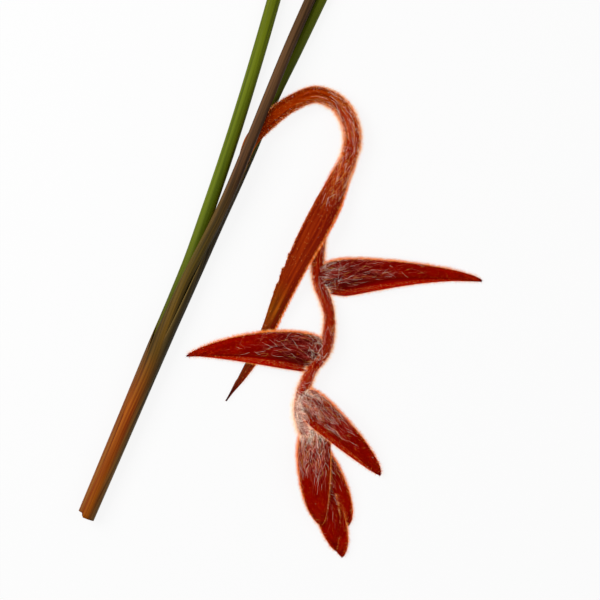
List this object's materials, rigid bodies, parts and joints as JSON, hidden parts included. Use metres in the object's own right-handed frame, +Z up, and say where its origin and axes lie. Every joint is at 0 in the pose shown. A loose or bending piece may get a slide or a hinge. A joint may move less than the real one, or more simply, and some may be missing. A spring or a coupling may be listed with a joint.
{
  "type": "cut heliconia flower",
  "caption": "Cut shoot of a furry hanging heliconia: rolled leaf stalks, an arching flower stalk, a long thin bract and red hairy boat-shaped bracts along a zigzag axis.",
  "frame": {"origin": "on the surface that the flower lies on, under the middle of its whole extent", "axes": "+Y from the cut end towards the leaf stalks, +X towards the side on which the flower hangs, +Z up from the surface"},
  "size_m": [0.3446, 0.4998, 0.0232],
  "materials": {
    "green_stalk": "waxy green leaf stalk with fine lengthwise fibres, browning at the rolled sheath",
    "brown_stalk": "red-brown leaf stalk with fine lengthwise fibres, its sheath orange-brown with a papery edge",
    "orange_fur": "orange-red stalk under short dense yellow and cream hair",
    "dry_bract": "leathery orange-brown bract with a dry ochre patch and a dark tip",
    "red_fur": "deep red bract under velvety hair, long and pale at the base and short and orange at the edges"
  },
  "bodies": {
    "root": {"leaf_stalk_left": "green_stalk", "leaf_stalk_front": "brown_stalk", "leaf_stalk_back": "green_stalk", "flower_stalk": "orange_fur", "basal_bract": "dry_bract", "bract_1": "red_fur", "bract_2": "red_fur", "bract_3": "red_fur", "bract_4": "red_fur", "bract_5": "red_fur", "bract_6": "red_fur", "bract_7": "red_fur"}
  },
  "joints": []
}
